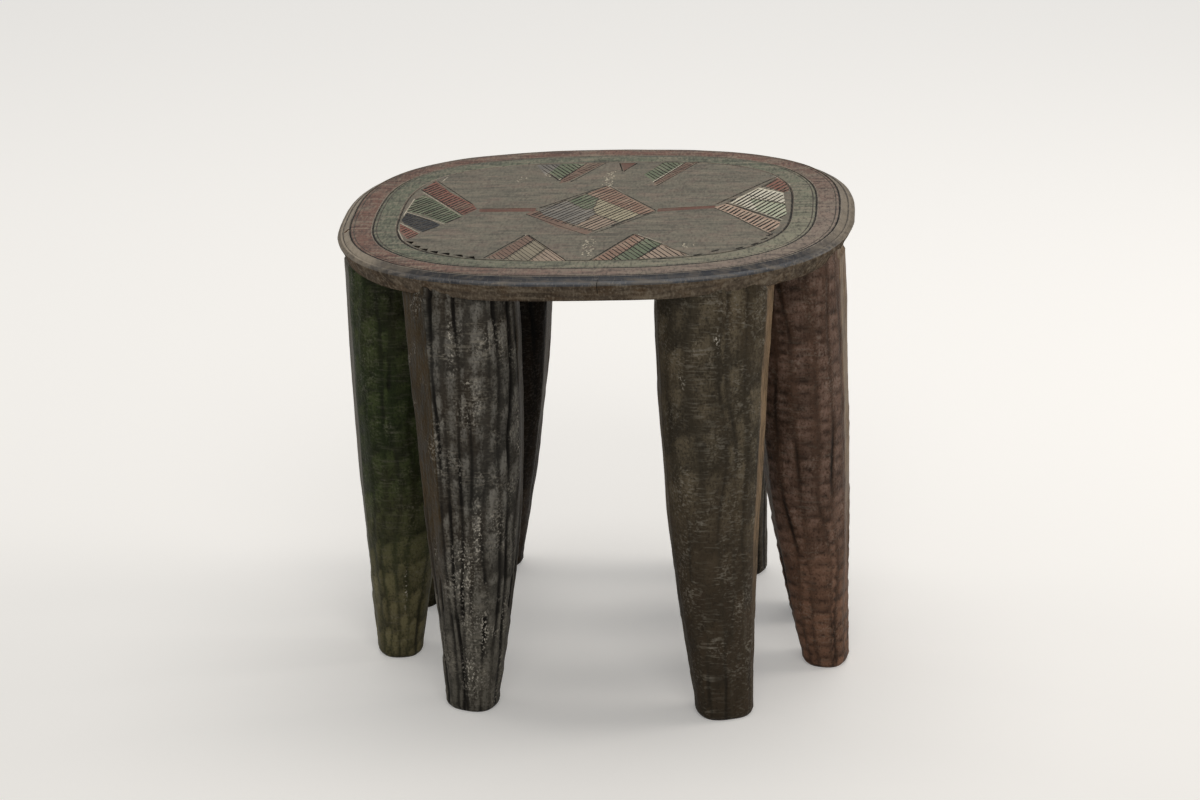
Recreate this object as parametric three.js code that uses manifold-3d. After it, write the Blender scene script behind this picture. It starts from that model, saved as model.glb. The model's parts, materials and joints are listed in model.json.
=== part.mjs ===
// A low carved stool or side table: a rounded-square slab on eight tapering, adzed legs.
// The real one is cut from a single log. Here each leg is its own piece, with a stub tenon
// on its head that sits in a blind mortise in the underside of the slab.
// Millimetres, +Z up, +X to the right, the front towards -Y, standing on Z = 0.
import * as THREE from "three";
import { mergeVertices } from "three/addons/utils/BufferGeometryUtils.js";
import Module from "manifold-3d";

const wasm = await Module();
wasm.setup();

// Overall sizes
const TOP_WIDTH = 420;
const TOP_DEPTH = 378;
const HEIGHT = 380; // floor to the middle of the top
const OUT_OF_LEVEL = 2.1; // degrees: the stool stands higher at the right

// Slab
const SLAB_THICKNESS = 20;
const RIM_POWER = 2.8; // 2 is an ellipse, more is squarer
const BEVEL_WIDTH = 10;
const BEVEL_DROP = 4;
const WALL_TUCK = 6.5; // how far the side wall slopes in below the bevel
const WALL_SHOULDER = 5; // height of the nearly upright part of that wall
const SHOULDER_TUCK = 0.6; // how far that part slopes in
const OUTER_BAND = 19; // red band
const INNER_BAND = 20; // green band
const GROOVE_WIDTH = 2.4;
const GROOVE_DEPTH = 1.2;

// Legs: widths run along the rim, depths across it
const HEAD_WIDTH = 88;
const HEAD_DEPTH = 76;
const FOOT_WIDTH = 43;
const FOOT_DEPTH = 36;
const LEG_POWER = 2.6; // squareness of a leg's section
const DEPTH_TAPER = 2.2; // power: the taper gathers speed towards the foot
const FOOT_ROUND = 9; // height of the rounded edge round the foot
const FOOT_ROUND_IN = 7; // how far that rounding comes in
const FOOT_KNEE_HEIGHT = 2.7; // the line where that rounding turns upright
const FOOT_KNEE_IN = 2.1; // how far in that line lies
const LEG_BOW = 5; // the middle of a leg stands this much nearer to the centre line
const LEG_BELLY_DEPTH = 2.5; // the middle of a leg stands this much further out

// Joints
const TENON_WIDTH = 38;
const TENON_DEPTH = 28;
const TENON_LENGTH = 12;
const FIT_GAP = 0.3; // all round the tenon, past its end and under its shoulder

// Fineness of the carving's facets
const RIM_FACETS = 84;
const LEG_FACETS = 22;
const LEG_STATIONS = [0, 0.12, 0.26, 0.4, 0.54, 0.68, 0.8, 0.9];

// Each leg: at = its place on the rim, degrees anticlockwise from +X, seen from above; head
// and foot = how much wider it is there than most; taper = how late its width falls to that
// of the foot; out = how far its head stands out past the lower edge of the slab; along = how
// far its foot is shifted along the rim, anticlockwise; tuck = how far its outer face leans in
// from head to foot.
const EVEN_LEG = { head: 0, foot: 0, taper: 1.6, out: 0 };
const LEGS = [
  { ...EVEN_LEG, name: "leg_right_front", at: -19, out: 3, along: 27, tuck: 5, paint: 0x4b3637 },
  { ...EVEN_LEG, name: "leg_right_rear", at: 19, foot: 1, along: -4, tuck: 11, paint: 0x35291f },
  { ...EVEN_LEG, name: "leg_rear_right", at: 58, along: -6, tuck: 1, paint: 0x33302c },
  { ...EVEN_LEG, name: "leg_rear_left", at: 122, taper: 1.5, along: 14, tuck: 0, paint: 0x35291f },
  { ...EVEN_LEG, name: "leg_left_rear", at: 161, along: 4, tuck: 9, paint: 0x2f3a2d },
  { ...EVEN_LEG, name: "leg_left_front", at: 199, along: -18, tuck: 7, paint: 0x2c3b2b },
  { ...EVEN_LEG, name: "leg_front_left", at: 237.2, foot: -2, taper: 1.9, along: -1, tuck: 3, paint: 0x38383a },
  {
    ...EVEN_LEG, name: "leg_front_right", at: 304.4, head: 4, foot: 3, taper: 1.25, along: -5, tuck: 3,
    paint: 0x3a3833,
  },
];

// What follows from the sizes above
const slope = THREE.MathUtils.degToRad(OUT_OF_LEVEL);
const halfWidth = TOP_WIDTH / 2;
const halfDepth = TOP_DEPTH / 2;
const underside = -SLAB_THICKNESS;
const legLength = HEIGHT - SLAB_THICKNESS;

// Distance from the centre to a superellipse, along a direction
function reach(angle, halfX, halfY, power) {
  const x = Math.abs(Math.cos(angle)) / halfX;
  const y = Math.abs(Math.sin(angle)) / halfY;
  return Math.pow(Math.pow(x, power) + Math.pow(y, power), -1 / power);
}

// A turned vertex nearer to the axis than this lies on it
const ON_AXIS = 1e-3;

// Turns a profile of [radius, level] points round Z, then moves each vertex to place(angle, radius, level)
function turned(profile, facets, place) {
  const points = profile.map(([radius, level]) => new THREE.Vector2(radius, level));
  const geometry = new THREE.LatheGeometry(points, facets);
  geometry.rotateX(Math.PI / 2);
  geometry.deleteAttribute("normal");
  geometry.deleteAttribute("uv");
  const at = geometry.getAttribute("position");
  for (let i = 0; i < at.count; i++) {
    const angle = Math.atan2(at.getY(i), at.getX(i));
    const radius = Math.hypot(at.getX(i), at.getY(i));
    at.setXYZ(i, ...place(angle, radius < ON_AXIS ? 0 : radius, at.getZ(i)));
  }
  return closed(geometry);
}

// Merges shared vertices and drops the flat triangles that a turned pole leaves
function closed(geometry) {
  const merged = mergeVertices(geometry, 1e-4);
  const old = merged.index.array;
  const kept = [];
  for (let i = 0; i < old.length; i += 3) {
    const [a, b, c] = [old[i], old[i + 1], old[i + 2]];
    if (a !== b && b !== c && c !== a) kept.push(a, b, c);
  }
  merged.setIndex(kept);
  return merged;
}

function toSolid(geometry) {
  const vertProperties = new Float32Array(geometry.getAttribute("position").array);
  const triVerts = new Uint32Array(geometry.index.array);
  return new wasm.Manifold(new wasm.Mesh({ numProp: 3, vertProperties, triVerts }));
}

function toGeometry(solid) {
  const mesh = solid.getMesh();
  const geometry = new THREE.BufferGeometry();
  geometry.setAttribute("position", new THREE.BufferAttribute(mesh.vertProperties, 3));
  geometry.setIndex(new THREE.BufferAttribute(mesh.triVerts, 1));
  return geometry;
}

function piece(name, geometry, color) {
  const material = new THREE.MeshStandardMaterial({ color, roughness: 0.72, metalness: 0 });
  geometry.computeVertexNormals();
  const mesh = new THREE.Mesh(geometry, material);
  mesh.name = name;
  return mesh;
}

// Slab profile, from the middle of the top out over the rim and back to the middle of the underside.
// Levels are measured from the top face.
function groove(radius) {
  return [
    [radius - GROOVE_WIDTH / 2, 0],
    [radius, -GROOVE_DEPTH],
    [radius + GROOVE_WIDTH / 2, 0],
  ];
}

function slabProfile() {
  const bevelTop = halfWidth - BEVEL_WIDTH;
  const redInner = bevelTop - OUTER_BAND;
  const greenInner = redInner - INNER_BAND;
  return [
    [0, 0],
    ...groove(greenInner),
    ...groove(redInner),
    ...groove(bevelTop),
    [halfWidth, -BEVEL_DROP],
    [halfWidth - SHOULDER_TUCK, -BEVEL_DROP - WALL_SHOULDER],
    [halfWidth - WALL_TUCK, underside],
    [0, underside],
  ];
}

function slabBlank() {
  return turned(slabProfile().reverse(), RIM_FACETS, (angle, radius, level) => {
    if (radius === 0) return [0, 0, level];
    const out = reach(angle, radius, radius - (halfWidth - halfDepth), RIM_POWER);
    return [out * Math.cos(angle), out * Math.sin(angle), level];
  });
}

// A rounded section point of a leg or tenon: u runs along the rim, w outwards
function sectionPoint(angle, width, depth, middle) {
  const out = reach(angle, width / 2, depth / 2, LEG_POWER);
  return [out * Math.cos(angle), middle + out * Math.sin(angle)];
}

// Where a leg stands: its head's outermost point and the way that it faces, seen from above
function footing(leg) {
  const angle = THREE.MathUtils.degToRad(leg.at);
  const halfX = halfWidth - WALL_TUCK + leg.out;
  const halfY = halfDepth - WALL_TUCK + leg.out;
  const out = reach(angle, halfX, halfY, RIM_POWER);
  const x = out * Math.cos(angle);
  const y = out * Math.sin(angle);
  const normalX = Math.sign(x) * Math.pow(Math.abs(x) / halfX, RIM_POWER - 1) / halfX;
  const normalY = Math.sign(y) * Math.pow(Math.abs(y) / halfY, RIM_POWER - 1) / halfY;
  return { x, y, turn: Math.atan2(normalY, normalX) - Math.PI / 2 };
}

// Level of the floor in the slab's own frame, which leans with the stool
function floorLevel(x) {
  return -(HEIGHT + x * Math.sin(slope)) / Math.cos(slope);
}

function legSize(head, foot, share, power) {
  return head + (foot - head) * Math.pow(share, power);
}

// Section of a leg a share of the way down: its size and where its middle lies
function legSection(leg, share) {
  const width = legSize(HEAD_WIDTH + leg.head, FOOT_WIDTH + leg.foot, share, leg.taper);
  const depth = legSize(HEAD_DEPTH, FOOT_DEPTH, share, DEPTH_TAPER);
  const arch = Math.sin(Math.PI * share);
  const middle = -depth / 2 - leg.tuck * share + LEG_BELLY_DEPTH * arch;
  const towardsCentreLine = Math.sign(Math.cos(THREE.MathUtils.degToRad(leg.at)) * Math.cos(leg.turn));
  const sideways = -leg.along * share - towardsCentreLine * LEG_BOW * arch;
  return { width, depth, middle, sideways };
}

function legGeometry(leg) {
  const shoulder = underside - FIT_GAP;
  const neck = legSection(leg, 0);
  const rings = [];
  const inSlabFrame = (u, w) => leg.x + u * Math.cos(leg.turn) - w * Math.sin(leg.turn);
  const lowered = (share, above, inset) => {
    const section = legSection(leg, share);
    return (angle) => {
      const width = section.width - 2 * inset;
      const depth = section.depth - 2 * inset;
      const [u, w] = sectionPoint(angle, width, depth, section.middle);
      const floor = floorLevel(inSlabFrame(u + section.sideways, w));
      const level = above === null ? shoulder + (floor - shoulder) * share : floor + above;
      return [u + section.sideways, w, level];
    };
  };
  rings.push(lowered(1, 0, FOOT_ROUND_IN));
  rings.push(lowered(1, FOOT_KNEE_HEIGHT, FOOT_KNEE_IN));
  rings.push(lowered(1 - FOOT_ROUND / legLength, FOOT_ROUND, 0));
  for (const share of [...LEG_STATIONS].reverse()) rings.push(lowered(share, null, 0));
  for (const top of [shoulder, shoulder + FIT_GAP + TENON_LENGTH])
    rings.push((angle) => [...sectionPoint(angle, TENON_WIDTH, TENON_DEPTH, neck.middle), top]);
  const profile = [[0, 0], ...rings.map((ring, index) => [1, index]), [0, rings.length - 1]];
  return turned(profile, LEG_FACETS, (angle, radius, index) => {
    const ring = rings[Math.round(index)];
    if (radius > 0) return ring(angle);
    const [right, left] = [ring(0), ring(Math.PI)];
    return right.map((value, axis) => (value + left[axis]) / 2);
  });
}

function mortiseCutter(leg) {
  const middle = legSection(leg, 0).middle;
  const levels = [underside - TENON_LENGTH, underside + TENON_LENGTH + FIT_GAP];
  const profile = [[0, levels[0]], [1, levels[0]], [1, levels[1]], [0, levels[1]]];
  const cutter = turned(profile, LEG_FACETS, (angle, radius, level) => {
    if (radius === 0) return [0, middle, level];
    return [...sectionPoint(angle, TENON_WIDTH + 2 * FIT_GAP, TENON_DEPTH + 2 * FIT_GAP, middle), level];
  });
  cutter.rotateZ(leg.turn);
  cutter.translate(leg.x, leg.y, 0);
  return cutter;
}

// The stool is made square in the slab's frame, then leans as one on its uneven legs
const legs = LEGS.map((leg) => ({ ...leg, ...footing(leg) }));
const leaning = new THREE.Group();
leaning.rotation.y = -slope;

let slab = toSolid(slabBlank());
for (const leg of legs) slab = slab.subtract(toSolid(mortiseCutter(leg)));
leaning.add(piece("tabletop", toGeometry(slab), 0x4a3f37));

for (const leg of legs) {
  const mesh = piece(leg.name, legGeometry(leg), leg.paint);
  mesh.position.set(leg.x, leg.y, 0);
  mesh.rotation.z = leg.turn;
  leaning.add(mesh);
}

// Centred over its own footprint
const stool = new THREE.Group();
stool.add(leaning);
const box = new THREE.Box3().setFromObject(stool, true);
leaning.position.set(-(box.min.x + box.max.x) / 2, -(box.min.y + box.max.y) / 2, HEIGHT);

export default stool;
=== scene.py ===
# A low carved stool or side table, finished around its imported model. Shapes are worked out in
# millimetres in the top's own frame, which leans a little, and then set into the model's frame.
import json
import math

import bmesh
import bpy
import numpy as np
from mathutils import Matrix, Vector
from mathutils.bvhtree import BVHTree


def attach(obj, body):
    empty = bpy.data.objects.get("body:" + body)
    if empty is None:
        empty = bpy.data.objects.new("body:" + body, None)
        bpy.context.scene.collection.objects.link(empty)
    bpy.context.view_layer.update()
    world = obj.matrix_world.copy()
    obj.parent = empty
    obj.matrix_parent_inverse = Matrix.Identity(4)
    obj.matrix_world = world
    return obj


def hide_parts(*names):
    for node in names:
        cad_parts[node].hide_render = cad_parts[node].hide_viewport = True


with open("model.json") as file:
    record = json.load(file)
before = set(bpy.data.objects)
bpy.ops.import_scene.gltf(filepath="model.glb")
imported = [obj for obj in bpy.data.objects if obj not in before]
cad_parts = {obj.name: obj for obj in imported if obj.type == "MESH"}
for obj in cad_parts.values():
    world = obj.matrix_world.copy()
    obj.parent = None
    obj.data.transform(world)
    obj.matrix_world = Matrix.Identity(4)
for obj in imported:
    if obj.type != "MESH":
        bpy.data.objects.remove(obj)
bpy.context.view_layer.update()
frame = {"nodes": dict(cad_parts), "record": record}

# The studio: a pale floor that runs to the horizon, pale air, four soft lamps, and a camera
# that looks down on the stool from in front, a little to the right of its middle.
MM = 0.001
CAMERA_PLACE = (199.6, -2608.2, 1165)
CAMERA_PITCH = 20
CAMERA_YAW = 4.383
CAMERA_LENS = 99.5
CAMERA_FILM = 36
AIM = (0, 0, 0.2)
FLOOR_SIZE = 30
FLOOR_PALE = (0.88, 0.865, 0.84)
FLOOR_ROUGHNESS = 0.9
# How strongly the floor glows to the camera, near and far, and between which two places
GLOW_COLOUR = (1, 0.99, 0.975)
GLOW_FROM, GLOW_TO = -1.5, 3.0
GLOW_NEAR, GLOW_FAR = 0.1, 0.46
AIR_COLOUR = (1.0, 0.99, 0.96)
AIR_STRENGTH = 0.26
BACKDROP_COLOUR = (0.86, 0.86, 0.85)
LAMPS = [
    # name, place in metres, size in metres, power in watts, colour
    ("overhead", (0.1, 0.6, 2.4), 2.0, 20, (1.0, 0.98, 0.95)),
    ("left_side", (-2.4, 0.6, 1.0), 1.2, 6, (1.0, 0.97, 0.93)),
    ("right_side", (2.4, 0.5, 1.1), 1.2, 17, (1.0, 0.95, 0.9)),
    ("front_sky", (0.4, -2.7, 2.6), 2.0, 24, (1.0, 0.97, 0.93)),
]

scene = bpy.context.scene
camera = bpy.data.objects.new("camera", bpy.data.cameras.new("camera"))
scene.collection.objects.link(camera)
camera.data.sensor_width = CAMERA_FILM
camera.data.lens = CAMERA_LENS
camera.location = Vector(CAMERA_PLACE) * MM
camera.rotation_euler = (math.radians(90 - CAMERA_PITCH), 0, math.radians(CAMERA_YAW))
scene.camera = camera
scene.view_settings.view_transform = "Standard"


def new_material(name):
    material = bpy.data.materials.new(name)
    material.use_nodes = True
    return material, material.node_tree, material.node_tree.nodes["Principled BSDF"]


bpy.ops.mesh.primitive_plane_add(size=FLOOR_SIZE)
floor = bpy.context.object
floor.name = "studio_floor"
floor_paint, floor_tree, floor_shader = new_material("studio_floor")
floor_shader.inputs["Base Color"].default_value = FLOOR_PALE + (1,)
floor_shader.inputs["Roughness"].default_value = FLOOR_ROUGHNESS
# The glow keeps the background pale without more light on the stool
floor_place = floor_tree.nodes.new("ShaderNodeTexCoord")
floor_axes = floor_tree.nodes.new("ShaderNodeSeparateXYZ")
floor_far = floor_tree.nodes.new("ShaderNodeMapRange")
floor_far.inputs["From Min"].default_value = GLOW_FROM
floor_far.inputs["From Max"].default_value = GLOW_TO
floor_far.inputs["To Min"].default_value = GLOW_NEAR
floor_far.inputs["To Max"].default_value = GLOW_FAR
floor_seen = floor_tree.nodes.new("ShaderNodeLightPath")
floor_glow = floor_tree.nodes.new("ShaderNodeMath")
floor_glow.operation = "MULTIPLY"
floor_tree.links.new(floor_place.outputs["Object"], floor_axes.inputs["Vector"])
floor_tree.links.new(floor_axes.outputs["Y"], floor_far.inputs["Value"])
floor_tree.links.new(floor_far.outputs["Result"], floor_glow.inputs[0])
floor_tree.links.new(floor_seen.outputs["Is Camera Ray"], floor_glow.inputs[1])
floor_tree.links.new(floor_glow.outputs["Value"], floor_shader.inputs["Emission Strength"])
floor_shader.inputs["Emission Color"].default_value = GLOW_COLOUR + (1,)
floor.data.materials.append(floor_paint)

world = bpy.data.worlds.new("studio_air")
scene.world = world
world.use_nodes = True
air_tree = world.node_tree
air = air_tree.nodes["Background"]
air.inputs["Color"].default_value = AIR_COLOUR + (1,)
air.inputs["Strength"].default_value = AIR_STRENGTH
backdrop = air_tree.nodes.new("ShaderNodeBackground")
backdrop.inputs["Color"].default_value = BACKDROP_COLOUR + (1,)
seen = air_tree.nodes.new("ShaderNodeLightPath")
choice = air_tree.nodes.new("ShaderNodeMixShader")
air_tree.links.new(seen.outputs["Is Camera Ray"], choice.inputs["Fac"])
air_tree.links.new(air.outputs["Background"], choice.inputs[1])
air_tree.links.new(backdrop.outputs["Background"], choice.inputs[2])
air_tree.links.new(choice.outputs["Shader"], air_tree.nodes["World Output"].inputs["Surface"])

for lamp_name, place, size, power, colour in LAMPS:
    lamp = bpy.data.objects.new(lamp_name, bpy.data.lights.new(lamp_name, "AREA"))
    scene.collection.objects.link(lamp)
    lamp.data.shape = "DISK"
    lamp.data.size = size
    lamp.data.energy = power
    lamp.data.color = colour
    lamp.location = place
    lamp.rotation_euler = (Vector(AIM) - Vector(place)).to_track_quat("-Z", "Y").to_euler()

# The top: a thick rounded-square slab hewn from the log with the legs. A sloping rim, a red and
# a green band and a flat field lie inside each other, parted by carved grooves, and the
# field is chip-carved and painted. It is turned up ring by ring, squared, carved and rubbed.
top_mount = next(m for m in frame["record"]["mounts"] if m["name"] == "tabletop_face")
top_slope = math.asin(-top_mount["axis"][0])
top_place = Matrix.Translation(top_mount["pos_m"]) @ Matrix.Rotation(-top_slope, 4, "Y")
into_top = Matrix.Scale(1 / MM, 4) @ top_place.inverted()
out_of_top = top_place @ Matrix.Scale(MM, 4)


def cad_points(node):
    # A CAD node's corners in the top's frame, in millimetres
    return np.array([into_top @ v.co for v in frame["nodes"][node].data.vertices])


slab_points = cad_points("tabletop")
half_width = slab_points[:, 0].max()
half_depth = slab_points[:, 1].max()
underside = slab_points[:, 2].min()

RIM_SIDES = 288
RIM_POWER = 2.6
FIELD_POWER = 3.1
BEVEL = 10
RED_BAND = 19
GREEN_BAND = 20
GROOVE = 2.4
GROOVE_DEPTH = 1.3
SCORE_HALF = 0.5
SCORE_DEPTH = 0.3
FIELD_EDGE = BEVEL + RED_BAND + GREEN_BAND + GROOVE / 2
FIRST_RING = 7.4
FIRST_STEP = 0.5
EDGE_ANGLE = 24


def reach(angle, half_x, half_y, power):
    return (np.abs(np.cos(angle) / half_x) ** power + np.abs(np.sin(angle) / half_y) ** power) ** (-1 / power)


def band(start, end, crown, finish, steps=5, scored=0.0):
    # A painted band between two grooves, very slightly crowned, with one faint scored line
    shares = np.linspace(0, 1, steps)
    rings = [(start + (end - start) * s, crown * math.sin(math.pi * s), finish) for s in shares]
    if scored:
        level = crown * math.sin(math.pi * scored)
        middle = start + (end - start) * scored
        rings += [
            (middle - SCORE_HALF, level, finish),
            (middle, level - SCORE_DEPTH, "scored"),
            (middle + SCORE_HALF, level, "scored"),
        ]
        rings.sort()
    return rings


def groove(middle, pale, finish="groove"):
    # A carved line, its outer shoulder rubbed pale, partly as a painted highlight, over a little of its width
    half = GROOVE / 2
    return [
        (middle - half + pale, -0.1, "worn_edge_highlight"),
        (middle - half * 0.35, -GROOVE_DEPTH * 0.9, finish),
        (middle + half * 0.15, -GROOVE_DEPTH, finish),
        (middle + half * 0.6, -GROOVE_DEPTH * 0.45, finish),
        (middle + half, 0.0, finish),
    ]


# How far in from the rim, the level, and the finish of the strip below and outside that ring
rim_rings = [
    (6.5, underside + FIRST_STEP, "wall"),
    (6.1, underside + 1.6, "wall"),
    (4.9, -15.4, "wall"),
    (3.7, -12.9, "wall"),
    (2.4, -10.6, "wall"),
    (1.2, -8.7, "wall"),
    (0.3, -7.0, "wall"),
    (0.0, -5.7, "wall"),
    (0.4, -4.6, "lip"),
    (1.3, -3.9, "lip"),
    (2.6, -3.4, "lip"),
    (4.0, -2.9, "bevel"),
    (5.0, -3.3, "scored"),
    (5.8, -2.5, "bevel"),
    (7.2, -1.7, "bevel"),
    (8.0, -0.8, "bevel"),
    (BEVEL - GROOVE / 2, -0.15, "bevel"),
    *groove(BEVEL, 0.8),
    *band(BEVEL + GROOVE / 2, BEVEL + RED_BAND - GROOVE / 2, 0.25, "red", scored=0.14)[1:],
    *groove(BEVEL + RED_BAND, 0.7),
    *band(BEVEL + RED_BAND + GROOVE / 2, FIELD_EDGE - GROOVE, 0.25, "green", scored=0.12)[1:],
    *groove(FIELD_EDGE - GROOVE / 2, 0.35, "field_groove"),
    *band(FIELD_EDGE, half_width - 6, 0.0, "field", steps=8)[1:],
]

bpy.ops.object.select_all(action="DESELECT")
bpy.ops.mesh.primitive_cylinder_add(
    vertices=RIM_SIDES,
    radius=half_width - FIRST_RING,
    depth=FIRST_STEP,
    location=(0, 0, underside + FIRST_STEP / 2),
    end_fill_type="NGON",
)
tabletop = bpy.context.object
tabletop.name = "tabletop_carved"
bpy.ops.object.transform_apply(location=True)
bpy.ops.object.mode_set(mode="EDIT")
bpy.ops.mesh.select_mode(type="FACE")
bpy.ops.mesh.select_all(action="DESELECT")
bpy.ops.object.mode_set(mode="OBJECT")
for face in tabletop.data.polygons:
    face.select = face.normal.z > 0.9
bpy.ops.object.mode_set(mode="EDIT")
inset_now, level_now = FIRST_RING, underside + FIRST_STEP
for inset, level, finish in rim_rings[1:]:
    shrink = (half_width - inset) / (half_width - inset_now)
    bpy.ops.mesh.extrude_region_move(TRANSFORM_OT_translate={"value": (0, 0, level - level_now)})
    bpy.ops.transform.resize(value=(shrink, shrink, 1), center_override=(0, 0, level))
    inset_now, level_now = inset, level
bpy.ops.object.mode_set(mode="OBJECT")


def read_points(mesh):
    flat = np.empty(len(mesh.vertices) * 3)
    mesh.vertices.foreach_get("co", flat)
    return flat.reshape(-1, 3)


def write_points(mesh, points):
    mesh.vertices.foreach_set("co", points.ravel())
    mesh.update()


def patchy(u, v, seed):
    # Smooth hand-made unevenness from -1 to 1, one hump for each step of u and v
    table = np.random.default_rng(seed).uniform(-1, 1, (64, 64))
    u0, v0 = np.floor(u).astype(int), np.floor(v).astype(int)
    fu, fv = u - u0, v - v0
    fu, fv = fu * fu * (3 - 2 * fu), fv * fv * (3 - 2 * fv)
    rows = []
    for row in (0, 1):
        near, far = table[u0 % 64, (v0 + row) % 64], table[(u0 + 1) % 64, (v0 + row) % 64]
        rows.append(near * (1 - fu) + far * fu)
    return rows[0] * (1 - fv) + rows[1] * fv


# Strips are told apart by their distance from the rim while the slab is still round
points = read_points(tabletop.data)
insets = half_width - np.hypot(points[:, 0], points[:, 1])
ring_finish = []
for face in tabletop.data.polygons:
    corners = insets[list(face.vertices)]
    levels = points[list(face.vertices), 2]
    inner, high = corners.max(), levels.max()
    ring = min(rim_rings, key=lambda r: abs(r[0] - inner) + abs(r[1] - high))
    flat_below = face.normal.z < -0.9
    ring_finish.append("wall" if flat_below else ring[2])

angles = np.arctan2(points[:, 1], points[:, 0])
radii = half_width - insets
power = np.interp(insets, [0, FIELD_EDGE], [RIM_POWER, FIELD_POWER])
in_field = radii < half_width - FIELD_EDGE
ring_half = np.where(in_field, half_width - FIELD_EDGE, radii)
outline = reach(angles, ring_half, ring_half - (half_width - half_depth), power)
outline *= np.where(in_field, radii / ring_half, 1)
# A hand-hewn rim: a fuller right side, shallow adze dents in the wall, a wavering bevel
near_rim = np.clip(1 - insets / BEVEL, 0, 1)
fuller = 2.2 * np.cos(angles).clip(0) ** 6 * near_rim
on_wall = np.where(points[:, 2] < -6, 1, 0.35) * near_rim
dents = patchy(angles * 9, points[:, 2] / 9, 3) * 0.55 + patchy(angles * 27, points[:, 2] / 5, 4) * 0.3
outline += fuller + dents * on_wall
waver = patchy(angles * 4, insets / 30, 5) * 0.35
outline += waver * np.clip(insets / 8, 0, 1) * ~in_field
points[:, 0] = outline * np.cos(angles)
points[:, 1] = outline * np.sin(angles)
write_points(tabletop.data, points)

FIELD_WOOD = "70685d"
DARK_DIRT = "1f1a16"
WORN_PALE = "958a79"


def link(tree, source, target):
    tree.links.new(source, target)
    return target


def noise_on(tree, scale, stretch=(1, 1, 1), detail=3.0, roughness=0.55, lean=0.0):
    # A noise over the object's own coordinates, scale in humps for each metre
    coordinates = tree.nodes.new("ShaderNodeTexCoord")
    mapping = tree.nodes.new("ShaderNodeMapping")
    mapping.inputs["Scale"].default_value = stretch
    mapping.inputs["Rotation"].default_value = (0, lean, 0)
    texture = tree.nodes.new("ShaderNodeTexNoise")
    texture.inputs["Scale"].default_value = scale
    texture.inputs["Detail"].default_value = detail
    texture.inputs["Roughness"].default_value = roughness
    link(tree, coordinates.outputs["Object"], mapping.inputs["Vector"])
    link(tree, mapping.outputs["Vector"], texture.inputs["Vector"])
    return texture.outputs["Fac"]


def stepped(tree, source, low, high, to_low=0.0, to_high=1.0):
    # Spreads a value between low and high over to_low to to_high, softly
    spread = tree.nodes.new("ShaderNodeMapRange")
    spread.interpolation_type = "SMOOTHSTEP"
    spread.inputs["From Min"].default_value = low
    spread.inputs["From Max"].default_value = high
    spread.inputs["To Min"].default_value = to_low
    spread.inputs["To Max"].default_value = to_high
    link(tree, source, spread.inputs["Value"])
    return spread.outputs["Result"]


def maths(tree, operation, first, second):
    node = tree.nodes.new("ShaderNodeMath")
    node.operation = operation
    for socket, value in zip(node.inputs, (first, second)):
        if isinstance(value, (int, float)):
            socket.default_value = value
        else:
            link(tree, value, socket)
    return node.outputs["Value"]


def hex_colour(code):
    # An sRGB colour such as "74695e" as the linear colour that a shader takes
    channels = [int(code[i : i + 2], 16) / 255 for i in (0, 2, 4)]
    return tuple(c / 12.92 if c < 0.04045 else ((c + 0.055) / 1.055) ** 2.4 for c in channels) + (1,)


def mixed(tree, share, first, second):
    node = tree.nodes.new("ShaderNodeMix")
    node.data_type = "RGBA"
    sockets = [s for s in node.inputs if s.enabled]
    for socket, value in zip(sockets, (share, first, second)):
        if isinstance(value, str):
            socket.default_value = hex_colour(value)
        elif isinstance(value, (int, float)):
            socket.default_value = value
        else:
            link(tree, value, socket)
    return next(s for s in node.outputs if s.enabled)


def bumped(tree, shader, source, height):
    node = tree.nodes.new("ShaderNodeBump")
    node.inputs["Strength"].default_value = 1.0
    node.inputs["Distance"].default_value = height
    link(tree, source, node.inputs["Height"])
    link(tree, node.outputs["Normal"], shader.inputs["Normal"])


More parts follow.
